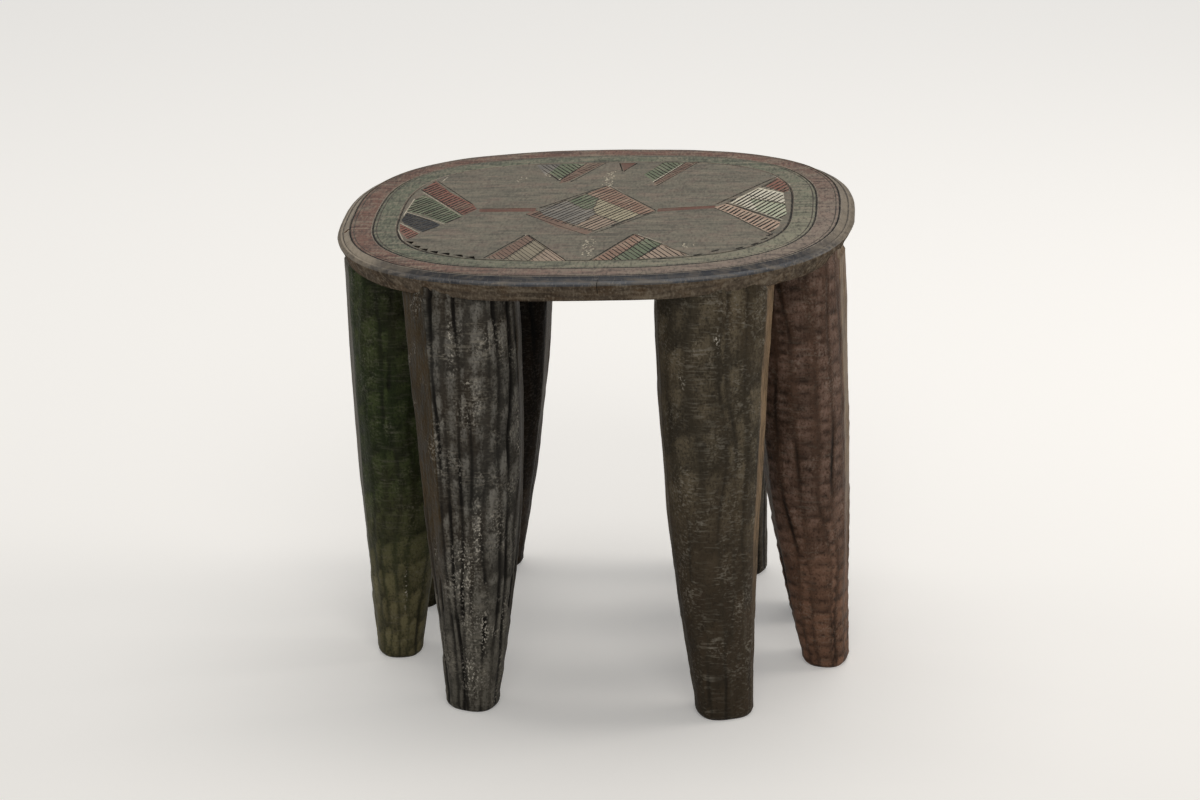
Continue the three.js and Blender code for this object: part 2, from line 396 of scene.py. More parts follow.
def rubbed_paint(
    name, paint, under, wear=0.4, dirt=0.25, gloss=0.48, rough=0.0004, towards=(), shine=0.45, streaks=0.65
):
    # Old paint or bare wood on the top: rubbed through in patches and along the polishing
    # strokes, with grime in the grain. Towards a side of the top it can turn to another colour.
    material, tree, shader = new_material(name)
    patches = noise_on(tree, 60, detail=5.0)
    strokes = noise_on(tree, 230, stretch=(0.14, 1, 1), detail=2.0)
    grain = noise_on(tree, 520, stretch=(1, 0.3, 0.6), detail=2.0)
    grime = noise_on(tree, 26, detail=5.0)
    colour = paint
    coordinates = tree.nodes.new("ShaderNodeTexCoord")
    axes = tree.nodes.new("ShaderNodeSeparateXYZ")
    link(tree, coordinates.outputs["Object"], axes.inputs["Vector"])
    for (toward_x, toward_y), low, high, other in towards:
        along = maths(tree, "MULTIPLY", axes.outputs["X"], toward_x)
        along = maths(tree, "ADD", along, maths(tree, "MULTIPLY", axes.outputs["Y"], toward_y))
        along = maths(tree, "ADD", along, stepped(tree, patches, 0.3, 0.7, -0.015, 0.015))
        colour = mixed(tree, stepped(tree, along, low, high), colour, other)
    rub = maths(tree, "ADD", maths(tree, "MULTIPLY", patches, 0.5), maths(tree, "MULTIPLY", strokes, 0.3))
    rub = maths(tree, "ADD", rub, maths(tree, "MULTIPLY", grain, 0.2))
    colour = mixed(tree, stepped(tree, rub, 0.46, 0.62, 0.0, wear), colour, under)
    colour = mixed(tree, stepped(tree, grime, 0.46, 0.75, 0.0, dirt), colour, DARK_DIRT)
    colour = mixed(tree, stepped(tree, strokes, 0.5, 0.7, 0.0, 0.5 * streaks), colour, WORN_PALE)
    colour = mixed(tree, stepped(tree, strokes, 0.3, 0.49, 0.48 * streaks, 0.0), colour, DARK_DIRT)
    colour = mixed(tree, stepped(tree, grain, 0.52, 0.67, 0.0, 0.42 * streaks), colour, DARK_DIRT)
    colour = mixed(tree, stepped(tree, grain, 0.33, 0.47, 0.42 * streaks, 0.0), colour, WORN_PALE)
    link(tree, colour, shader.inputs["Base Color"])
    shader.inputs["Specular IOR Level"].default_value = shine
    link(tree, stepped(tree, strokes, 0.3, 0.8, gloss - 0.1, gloss + 0.16), shader.inputs["Roughness"])
    height = maths(tree, "ADD", maths(tree, "MULTIPLY", strokes, 0.5), maths(tree, "MULTIPLY", patches, 0.9))
    height = maths(tree, "ADD", height, maths(tree, "MULTIPLY", grain, 0.4))
    bumped(tree, shader, height, rough)
    return material


TO_FRONT = (0, -1)
TO_BACK = (0, 1)
TO_LEFT = (-1, 0)
TO_FRONT_RIGHT = (0.7, -0.7)
TO_DARK_RIM = (0.12, -1)
TOP_FINISHES = {
    "wall": rubbed_paint(
        "slab_wall_wood", "302009", "5a4836", 0.7, 0.6, gloss=0.8, rough=0.0018,
        towards=[(TO_FRONT, 0.02, 0.15, "62574b")], shine=0.05, streaks=0.75,
    ),
    "lip": rubbed_paint(
        "rim_lip_wood", "7d7263", "655c50", 0.5, 0.35, towards=[(TO_DARK_RIM, 0.08, 0.16, "3d4047")]
    ),
    "bevel": rubbed_paint(
        "rim_wash", "8b8071", "7c7164", 0.4, 0.25,
        towards=[
            # Paler towards the left: rubbed wear, and partly painted light on that side
            (TO_LEFT, 0.1, 0.19, "ab9e8c"),
            (TO_BACK, 0.07, 0.13, "555150"),
            (TO_DARK_RIM, 0.08, 0.16, "2a2d35"),
        ],
        streaks=0.35,
    ),
    "groove": rubbed_paint("groove_grime", "2c2b2d", "463f38", 0.5, 0.3, 0.7),
    "field_groove": rubbed_paint(
        "field_groove_grime", "2c2b29", "4b443a", 0.5, 0.3, 0.7, towards=[(TO_FRONT, 0.1, 0.135, "625f50")]
    ),
    "scored": rubbed_paint("scored_lines", "48423b", "6b6156", 0.8, 0.4),
    # The grooves' pale outer shoulders: rubbed wear and a painted highlight
    "worn_edge_highlight": rubbed_paint("worn_edge_highlights", "93887a", "6a6055", 0.7, 0.3),
    # Both bands turn paler towards the front right
    "red": rubbed_paint(
        "red_band_paint", "795649", FIELD_WOOD, 0.55, 0.3,
        towards=[(TO_FRONT_RIGHT, -0.02, 0.2, "8e7d71")], streaks=1.1,
    ),
    "green": rubbed_paint(
        "green_band_paint", "6b705d", FIELD_WOOD, 0.5, 0.25,
        towards=[(TO_FRONT_RIGHT, -0.02, 0.2, "8e8c77")], streaks=1.2,
    ),
    "field": rubbed_paint("field_wood", "746f61", "7c6b60", 0.7, 0.2, 0.44, streaks=0.75),
}
for material in TOP_FINISHES.values():
    tabletop.data.materials.append(material)
finish_index = {name: index for index, name in enumerate(TOP_FINISHES)}
for face, finish in zip(tabletop.data.polygons, ring_finish):
    face.material_index = finish_index[finish]
bpy.ops.object.mode_set(mode="EDIT")
bpy.ops.mesh.select_all(action="SELECT")
bpy.ops.mesh.quads_convert_to_tris()
bpy.ops.object.mode_set(mode="OBJECT")

# The carving of the field, in millimetres from its middle, +Y towards the back. The knife
# hatched each figure with straight strokes, and then the ridges between were painted.
PAINT_DEPTH = 0.1
PAINT_STEP = 0.13
WELD = 0.02
STROKE_PITCH = 4.3
STROKE_WIDTH = 1.1
STROKE_DEPTH = 1.0
RIGHT_LEAN = 64
LEFT_LEAN = 117
PAINTED = {
    # paint: colour, colour where rubbed, outlines
    "bar_red": ("6f4638", "6c584c", [
        [(-97, 4.5), (-50, 5), (-50, -5), (-96, -5)],
        [(51, -2), (98, 5), (98, -3), (51, -10)],
        [(15, 112), (24, 136), (11, 136)],
    ]),
    "brick_red": ("8a5648", "907062", [
        [(-144, 90), (-152, 62), (-126, 15), (-108, -13), (-99, 3), (-104, 18), (-128, 55)],
        [(-158, -35), (-156, -38), (-139, -63), (-141, -72), (-146, -78), (-155, -58)],
        [(147, 86), (157, 62), (157, 45), (153, 40), (137, 60)],
    ]),
    "light_red": ("977765", "ac9784", [
        [(5, 66), (49, -8), (38, -18), (-11, 44)],
        [(37, -72), (46, -83), (22, -140), (7, -141)],
    ]),
    "faded_red": ("bda08c", "d2bfaa", [
        [(97, 0), (107, 10), (152, -43), (152, -52), (145, -74), (112, -20)],
    ]),
    "dull_red": ("7e6355", "90806f", [
        [(-57, -10), (-49, -2), (-14, -47), (3, -62), (-2, -71), (-26, -53)],
        [(-50, -70), (-43, -83), (-62, -135), (-77, -131)],
        [(-37, 76), (-30, 82), (-3, 138), (-18, 138), (-36, 88)],
        [(44, 66), (56, 88), (77, 137), (67, 137), (43, 76)],
    ]),
    "leaf_green": ("6a755c", "90927c", [
        [(-12, 43), (-1, 30), (-3, 1), (-10, 1), (-25, 25)],
        [(-149, 47), (-154, 33), (-157, 0), (-145, -8), (-120, -36), (-109, -17), (-134, 25)],
        [(47, -84), (60, -99), (42, -138), (23, -140)],
        [(-38, 90), (-20, 136), (-40, 137), (-50, 112)],
        [(42, 80), (66, 137), (48, 137), (33, 100)],
    ]),
    "night_blue": ("282d34", "3b3f43", [
        [(-156, -4), (-158, -25), (-155, -34), (-136, -60), (-124, -40), (-133, -27)],
        [(54, -106), (57, -108), (53, -120), (50, -119)],
    ]),
    "cream": ("b3a98e", "a0967e", [
        [(0, 29), (37, -18), (21, -36), (2, -15), (-2, 0)],
    ]),
    "sand": ("958b77", "877d6a", [
        [(-42, -84), (-31, -106), (-42, -139), (-61, -135)],
    ]),
    "chalk": ("e6e0cd", "cfc7b2", [
        [(109, 14), (122, 37), (132, 56), (153, 39), (155, 9), (126, 25), (135, -14)],
    ]),
    "pale_green": ("b9bfa5", "d9d2bb", [
        [(125, 24), (155, 6), (157, -20), (151, -34), (134, -13)],
    ]),
    "pink": ("ab9684", "9a8a79", [
        [(1, -16), (20, -38), (4, -61), (-12, -46)],
        [(-30, -107), (-13, -140), (-41, -139)],
        [(61, -100), (82, -130), (43, -138)],
    ]),
    "ash_grey": ("7d7973", "a0998f", [
        [(-26, 25), (-10, 0), (-3, 0), (0, -15), (-12, -45), (-42, -15), (-47, 1)],
        [(-51, 101), (-41, 136), (-62, 136)],
    ]),
}
# Hatched figures: outline, lean of the strokes, then spacing and strength as shares of the usual
HATCHED = [
    ([(5, 66), (49, -9), (3, -66), (-57, -11)], RIGHT_LEAN - 6, 1.05, 1.1),
    (
        [(-144, 90), (-152, 62), (-126, 15), (-108, -13), (-99, 3), (-104, 18), (-128, 55)],
        RIGHT_LEAN - 3, 1.0, 1.2,
    ),
    (
        [(-149, 47), (-154, 33), (-157, 0), (-145, -8), (-120, -36), (-109, -17), (-134, 25)],
        RIGHT_LEAN - 8, 1.0, 1.35,
    ),
    (
        [(-156, -4), (-158, -25), (-155, -34), (-136, -60), (-124, -40), (-133, -27)],
        RIGHT_LEAN - 10, 1.0, 1.2,
    ),
    (
        [(-158, -35), (-156, -38), (-139, -63), (-141, -72), (-146, -78), (-155, -58)],
        RIGHT_LEAN - 4, 1.0, 1.1,
    ),
    ([(146, 86), (157, 62), (157, 45), (153, 40), (132, 57), (122, 38)], RIGHT_LEAN, 1.05, 1.2),
    ([(121, 36), (132, 55), (153, 38), (156, 6), (157, -20), (152, -36), (107, 13)], RIGHT_LEAN, 1.05, 1.25),
    ([(97, 0), (106, 10), (152, -43), (152, -52), (145, -74), (112, -20)], RIGHT_LEAN, 1.05, 1.25),
    ([(-50, -70), (-12, -140), (-42, -139), (-77, -131)], LEFT_LEAN, 0.95, 0.62),
    ([(37, -72), (82, -130), (42, -139), (7, -141)], LEFT_LEAN, 1.0, 0.8),
    ([(-37, 84), (-20, 136), (-62, 136), (-48, 100)], LEFT_LEAN, 0.95, 0.9),
    ([(43, 78), (66, 137), (46, 137), (33, 100)], LEFT_LEAN, 0.95, 0.9),
    ([(-35, 75), (-30, 82), (-3, 138), (-17, 138), (-36, 88)], RIGHT_LEAN + 70, 0.8, 0.8),
    ([(45, 68), (56, 88), (77, 137), (68, 137), (44, 77)], RIGHT_LEAN + 70, 0.8, 0.8),
]
# Single knife lines: from, to, width
KNIFE_LINES = [
    ((-48, 4), (4, 67), 1.0),
    ((6, 67), (50, -7), 0.6),
    ((-57, -12), (-3, -72), 0.6),
    ((4, -67), (50, -10), 0.6),
    ((98, 8), (146, 88), 1.0),
    ((106, 12), (153, -40), 1.0),
    ((122, 37), (155, 8), 0.7),
    ((97, -1), (112, -22), 0.6),
    ((112, -22), (145, -77), 0.5),
    ((-52, -70), (-79, -131), 0.8),
    ((-44, -83), (-63, -135), 0.7),
    ((-32, -106), (-43, -139), 0.7),
    ((-49, -70), (-12, -141), 0.6),
    ((36, -71), (5, -141), 1.0),
    ((46, -82), (22, -140), 0.8),
    ((60, -98), (42, -138), 0.8),
    ((38, -73), (83, -129), 0.5),
    ((-38, 84), (-19, 137), 0.9),
    ((-28, 80), (-2, 138), 0.6),
    ((43, 76), (67, 137), 0.9),
    ((46, 66), (78, 137), 0.6),
    ((25, 136), (15, 110), 0.7),
    ((10, 136), (14, 111), 0.7),
    ((-153, 64), (-109, -12), 0.7),
    ((-104, 18), (-142, 89), 0.5),
    ((-158, -8), (-134, -26), 0.5),
]
# Ridges between the knife lines, rubbed pale and partly painted as a highlight: from, to, width
PALE_RIDGE_HIGHLIGHTS = [
    ((-150, 55), (-110, -15), 0.5),
    ((-157, -2), (-121, -37), 0.5),
    ((-158, -33), (-138, -62), 0.5),
    ((-158, -12), (-155, 36), 0.6),
    ((-161, -38), (-149, -82), 0.5),
    ((109, 13), (155, -38), 0.8),
    ((140, 99), (158, 63), 0.6),
    ((133, 58), (155, 41), 0.5),
    ((62, -108), (83, -131), 0.6),
    ((39, -72), (61, -98), 0.4),
    ((-39, 86), (-20, 119), 0.8),
    ((42, 77), (64, 131), 0.7),
    ((7, 67), (28, 30), 0.5),
    ((4, 66), (-6, 54), 0.5),
    ((-51, -69), (-61, -91), 0.4),
    ((-138, 88), (-135, 101), 0.5),
]
# Pecked marks: middle, how many, half width and length of the patch
PECKED = [
    ((4, 88), 44, 4.5, 46),
    ((2, -105), 36, 4.5, 44),
    ((-50, 115), 14, 4.5, 34),
    ((-71, 91), 8, 4.5, 16),
    ((81, -104), 7, 4.5, 12),
    ((8, 4), 40, 22, 66),
]
PECK_WIDTH = 0.55
PECK_DEPTH = 0.5
# Chipped notches and dashes along the field's front edge, and two flaws in the rim
EDGE_NOTCHES = [(-144, -87), (-137, -99), (-130, -107), (-121, -114), (-111, -119), (-100, -124), (-90, -129)]
NOTCH_DEPTH = 1.6
EDGE_DASHES = [
    (145, -79), (141, -90), (134, -103), (122, -113), (103, -119), (90, -129), (62, -137), (48, -140),
]
DASH_HALF = 4.4
DASH_WIDTH = 1.5
DASH_DEPTH = 1.4
RIM_HOLE = (-200, -49)
HOLE_BOTTOM = 1.6
HOLE_MOUTH = 3.0
HOLE_LENGTH = 9
RIM_CRACK = [(14.4, -192), (15.0, -192), (15.3, -184), (15.9, -179), (14.9, -184)]
CRACK_DEPTH = 13


def carve(name, material, make_shape):
    # Cuts a shape out of the top and leaves its finish in the cut
    shape = bmesh.new()
    make_shape(shape)
    bmesh.ops.recalc_face_normals(shape, faces=shape.faces)
    mesh = bpy.data.meshes.new(name)
    shape.to_mesh(mesh)
    shape.free()
    mesh.materials.append(material)
    cutter = bpy.data.objects.new(name, mesh)
    scene.collection.objects.link(cutter)
    cut = tabletop.modifiers.new(name, "BOOLEAN")
    cut.operation = "DIFFERENCE"
    cut.solver = "EXACT"
    cut.material_mode = "TRANSFER"
    cut.object = cutter
    bpy.context.view_layer.objects.active = tabletop
    bpy.ops.object.modifier_apply(modifier=cut.name)
    bpy.data.objects.remove(cutter)
    bpy.ops.object.mode_set(mode="EDIT")
    bpy.ops.mesh.select_mode(type="VERT")
    bpy.ops.mesh.select_all(action="SELECT")
    bpy.ops.mesh.remove_doubles(threshold=WELD)
    bpy.ops.mesh.select_all(action="DESELECT")
    bpy.ops.mesh.select_non_manifold()
    bpy.ops.mesh.fill_holes(sides=0)
    bpy.ops.object.mode_set(mode="OBJECT")


def prism(shape, corners, low, high):
    # A straight-sided cutter over an outline
    base = [shape.verts.new((x, y, low)) for x, y in corners]
    roof = [shape.verts.new((x, y, high)) for x, y in corners]
    shape.faces.new(base)
    shape.faces.new(roof)
    for i in range(len(corners)):
        j = (i + 1) % len(corners)
        shape.faces.new((base[i], base[j], roof[j], roof[i]))


def knife(shape, start, end, width, depth):
    # One pull of the knife: a long wedge, edge down, narrower where it leaves the wood
    start, end = Vector((*start, 0.02)), Vector((*end, 0.02))
    along = (end - start).normalized()
    aside = Vector((-along.y, along.x, 0))
    down = Vector((0, 0, -1))
    tip = min(width, (end - start).length * 0.3)
    rings = []
    for middle, share in ((start + along * tip, 1.0), (end - along * tip, 0.8)):
        left, right = middle - aside * width * share, middle + aside * width * share
        edge = middle + down * depth * share
        rings.append([shape.verts.new(p) for p in (left - down * 2, left, edge, right, right - down * 2)])
    for i in range(5):
        j = (i + 1) % 5
        shape.faces.new((rings[0][i], rings[0][j], rings[1][j], rings[1][i]))
    for ring, point in ((rings[0], start), (rings[1], end)):
        low = shape.verts.new(point - down * 0.05)
        high = shape.verts.new(point - down * 2)
        left_high, left, edge, right, right_high = ring
        shape.faces.new((left, edge, low))
        shape.faces.new((edge, right, low))
        shape.faces.new((left_high, left, low, high))
        shape.faces.new((right, right_high, high, low))
        shape.faces.new((right_high, left_high, high))


def hatch(outline_points, lean, pitch, rng):
    # The parts of parallel lines at that lean that lie inside an outline
    turn = Matrix.Rotation(-math.radians(lean), 2)
    back = Matrix.Rotation(math.radians(lean), 2)
    corners = [turn @ Vector(p) for p in outline_points]
    low, high = min(c.y for c in corners), max(c.y for c in corners)
    lines = []
    for level in np.arange(low + pitch * 0.5, high - pitch * 0.2, pitch):
        y = level + rng.uniform(-0.13, 0.13) * pitch
        crossings = []
        for a, b in zip(corners, corners[1:] + corners[:1]):
            if (a.y - y) * (b.y - y) < 0:
                crossings.append(a.x + (b.x - a.x) * (y - a.y) / (b.y - a.y))
        crossings.sort()
        for x0, x1 in zip(crossings[::2], crossings[1::2]):
            x0, x1 = x0 + rng.uniform(0.1, 0.9), x1 - rng.uniform(0.1, 0.9)
            if x1 - x0 > 2.5:
                skew = rng.uniform(-0.1, 0.1) * pitch
                lines.append((back @ Vector((x0, y - skew)), back @ Vector((x1, y + skew))))
    return lines


carver = np.random.default_rng(11)
for layer, (paint, (colour, rubbed, outlines)) in enumerate(PAINTED.items()):
    finish = rubbed_paint("paint_" + paint, colour, rubbed, 0.8, 0.25, streaks=0.25)

    def lay_paint(shape):
        for corners in outlines:
            prism(shape, corners, -PAINT_DEPTH * (1 + PAINT_STEP * layer), 3)

    carve("paint_" + paint, finish, lay_paint)


def far_apart(first, second):
    # Whether two knife cuts keep clear of each other
    clear = first[2] + second[2] + 0.25
    for one, other in ((first, second), (second, first)):
        start, along = np.array(other[0]), np.array(other[1]) - np.array(other[0])
        for point in one[:2]:
            share = np.clip(np.dot(np.array(point) - start, along) / np.dot(along, along), 0, 1)
            if math.dist(point, start + along * share) < clear:
                return False
    sides = []
    for one, other in ((first, second), (second, first)):
        (ax, ay), (bx, by) = one[:2]
        sides.append([(bx - ax) * (p[1] - ay) - (by - ay) * (p[0] - ax) > 0 for p in other[:2]])
    return sides[0][0] == sides[0][1] or sides[1][0] == sides[1][1]


def pull_cuts(name, material, cuts):
    # Cuts that touch or cross are made in turn, the others at one go
    goes = []
    for cut in cuts:
        for go in goes:
            if all(far_apart(cut, made) for made in go):
                go.append(cut)
                break
        else:
            goes.append([cut])
    for go in goes:

        def pull(shape):
            for start, end, width, depth in go:
                knife(shape, start, end, width, depth)

        carve(name, material, pull)


# Pale chips and ridges: cut and rubbed pale wood, partly a painted highlight
pale_chip_and_highlight = rubbed_paint("pale_chips_and_highlights", "cdc4b1", "9c9381", 0.6, 0.2, streaks=0.3)
pull_cuts("pale_ridge_highlights", pale_chip_and_highlight, [(a, b, width, 0.2) for a, b, width in PALE_RIDGE_HIGHLIGHTS])
cut_grime = rubbed_paint("cut_grime", "26221d", "4b433a", 0.5, 0.3, gloss=0.7)
cuts = [(a, b, width, 1.0) for a, b, width in KNIFE_LINES]
for corners, lean, spacing, strength in HATCHED:
    for a, b in hatch(corners, lean, STROKE_PITCH * spacing, carver):
        size = carver.uniform(0.85, 1.1) * strength
        cuts.append((tuple(a), tuple(b), STROKE_WIDTH * size, STROKE_DEPTH * size))
pull_cuts("knife_cuts", cut_grime, cuts)
dark_cut = rubbed_paint("dark_cuts", "15120f", "2a2520", 0.4, 0.3, gloss=0.75)


def cut_notches(shape):
    for place in EDGE_NOTCHES:
        along = Vector((-place[1] * 1.2, place[0])).normalized()
        across = Vector((along.y, -along.x))
        middle = Vector(place)
        heel = middle - along * 4.8
        toe = middle + along * 5.6 + across * 0.6
        point = middle + along * 1.0 - across * 4.6
        prism(shape, [tuple(c) for c in (heel, toe, point)], -NOTCH_DEPTH, 2)
    for place in EDGE_DASHES:
        along = Vector((-place[1] * 1.2, place[0])).normalized()
        middle = Vector(place)
        start, end = middle - along * DASH_HALF, middle + along * DASH_HALF
        knife(shape, tuple(start), tuple(end), DASH_WIDTH, DASH_DEPTH)
    prism(shape, RIM_CRACK, -CRACK_DEPTH, 2)


carve("notches", dark_cut, cut_notches)
pecks = []
for (x, y), count, wide, spread in PECKED:
    for i in range(count):
        middle = Vector((x + carver.uniform(-1, 1) * wide, y + (i / count - 0.5) * spread))
        pull = Vector((carver.uniform(-0.6, 0.6), 1)).normalized() * carver.uniform(0.9, 1.9)
        pecks.append((tuple(middle - pull), tuple(middle + pull), PECK_WIDTH, PECK_DEPTH))
pull_cuts("pecks", pale_chip_and_highlight, pecks)
hole_wood = rubbed_paint("hole_wood", "6b3a22", "2a1810", 0.4, 0.2, gloss=0.8)


def drill_hole(shape):
    bmesh.ops.create_cone(
        shape,
        cap_ends=True,
        segments=16,
        radius1=HOLE_BOTTOM,
        radius2=HOLE_MOUTH,
        depth=HOLE_LENGTH,
        matrix=Matrix.Translation((*RIM_HOLE, -2)),
    )


carve("hole", hole_wood, drill_hole)

# The whole top was levelled by eye: it rolls by a few tenths of a millimetre
points = read_points(tabletop.data)
roll = patchy(points[:, 0] / 45, points[:, 1] / 45, 8) * 0.3
roll = roll + patchy(points[:, 0] / 17, points[:, 1] / 17, 9) * 0.12
points[:, 2] += roll * np.clip((points[:, 2] + 4) / 4, 0, 1)
under_roll = patchy(points[:, 0] / 22, points[:, 1] / 22, 10) * 0.4
points[:, 2] += under_roll * np.clip((underside + 2 - points[:, 2]) / 2, 0, 1)
write_points(tabletop.data, points)
tabletop.data.transform(out_of_top)
for face in tabletop.data.polygons:
    face.use_smooth = True
bpy.ops.object.select_all(action="DESELECT")
tabletop.select_set(True)
bpy.context.view_layer.objects.active = tabletop
bpy.ops.object.shade_smooth_by_angle(angle=math.radians(EDGE_ANGLE))
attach(tabletop, "root")
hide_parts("tabletop")

# The legs: stout tapering posts left standing when the log was hollowed with an adze. Each
# has soft upright ribs cut in short strokes, a plain facet down each side, and dark paint
# that has rubbed through. A leg starts as a fine cylinder pushed out to its CAD solid.
LEG_SIDES = 224
LEG_RINGS = 190
HEAD_LEVEL = -12
HEAD_TUCK = 1.6
FOOT_CHAMFER = 3.4
FOOT_SAWN = 11
FACET_END = 0.78
FOOT_SHARE = 0.0005
RIB_ANGLE = 50
LEG_SHINE = 0.1
DEEP_DIRT_AND_SHADE = "0b0907"
SCRATCH_PALE = "8a8478"
FLAKE_PALE = "beb8ac"


def leg_measure(node):
    # The merged CAD leg as a tree for rays, its middle line from head to foot, and its shoulder
    shape = bmesh.new()
    shape.from_mesh(frame["nodes"][node].data)
    shape.transform(into_top)
    bmesh.ops.remove_doubles(shape, verts=shape.verts, dist=0.01)
    tree = BVHTree.FromBMesh(shape)
    corners = np.array([v.co for v in shape.verts])
    shape.free()
    shoulder = underside - 0.3
    head_ring = corners[np.abs(corners[:, 2] - shoulder) < 0.05]
    floor_points = np.array([into_top.inverted() @ Vector(c) for c in corners])[:, 2]
    foot_ring = corners[floor_points < 0.0001]
    return tree, head_ring.mean(0), foot_ring.mean(0), shoulder


def floor_level(x):
    return -(top_mount["pos_m"][2] / MM + x * math.sin(top_slope)) / math.cos(top_slope)


def leg_radii(tree, head, foot, shoulder, shares, turns):
    # How far the CAD leg reaches from its middle line, for each share of its length and turn
    radii = np.empty((len(shares), len(turns)))
    tilt = -math.tan(top_slope)
    for i, share in enumerate(shares):
        probe_share = min(max(share, 0.0015), 1 - FOOT_SHARE)
        probe = Vector(head + (foot - head) * share)
        probe.z = shoulder + (floor_level(probe.x) - shoulder) * probe_share
        for j, turn in enumerate(turns):
            way = Vector((math.cos(turn), math.sin(turn), tilt * share * math.cos(turn)))
            hit = tree.ray_cast(probe, way)
            radii[i, j] = math.hypot(hit[0].x - probe.x, hit[0].y - probe.y)
    return radii


def softened(values, width):
    # A running mean round the leg, twice, which takes the CAD leg's flat facets out
    window = np.ones(2 * width + 1) / (2 * width + 1)
    for _ in range(2):
        padded = np.pad(values, ((0, 0), (width, width)), mode="wrap")
        values = np.apply_along_axis(lambda row: np.convolve(row, window, mode="valid"), 1, padded)
    return values


def side_plane(radii, turns, facing, cut):
    # A plane down one side of the leg: the radius that it leaves, ring by ring
    away = np.cos(turns - facing)
    support = (radii * away).max(1, keepdims=True)
    return np.where(away > 0.05, (support - cut) / np.maximum(away, 0.05), 1e3)


